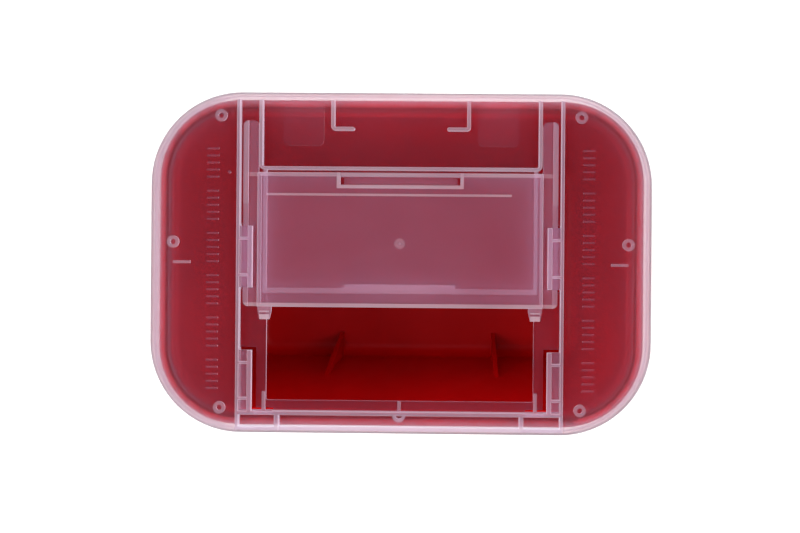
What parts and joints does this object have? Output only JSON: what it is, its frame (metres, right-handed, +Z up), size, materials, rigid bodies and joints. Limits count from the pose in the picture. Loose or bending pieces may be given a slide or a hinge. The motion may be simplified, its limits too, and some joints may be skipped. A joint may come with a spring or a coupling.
{
  "type": "sharps container",
  "caption": "Tall tapered plastic disposal tub with a push-on lid and a flat door that slides along the lid to shut its wide drop opening.",
  "frame": {"origin": "middle of the tub's foot, on the surface it stands on", "axes": "+X along the long side, -Y to the front where the drop opening is, +Z up out of the lid"},
  "size_m": [0.2666, 0.1824, 0.2563],
  "materials": {
    "red_tub": "translucent moulded polypropylene, satin gloss",
    "cloudy_lid": "natural cloudy polypropylene, satin",
    "cloudy_door": "natural cloudy polypropylene, satin",
    "label_sheet": "blank coated label"
  },
  "bodies": {
    "tub": {"base_container": "red_tub", "front_label": "label_sheet", "back_label": "label_sheet"},
    "lid": {"lid": "cloudy_lid"},
    "door": {"slide_door": "cloudy_door"}
  },
  "joints": [
    {"name": "lid_lift", "type": "slide", "parent": "tub", "child": "lid", "axis": [0, 0, 1], "range_m": [0, 0.06]},
    {"name": "door_slide", "type": "slide", "parent": "lid", "child": "door", "axis": [0, -1, 0], "range_m": [0, 0.054]}
  ]
}
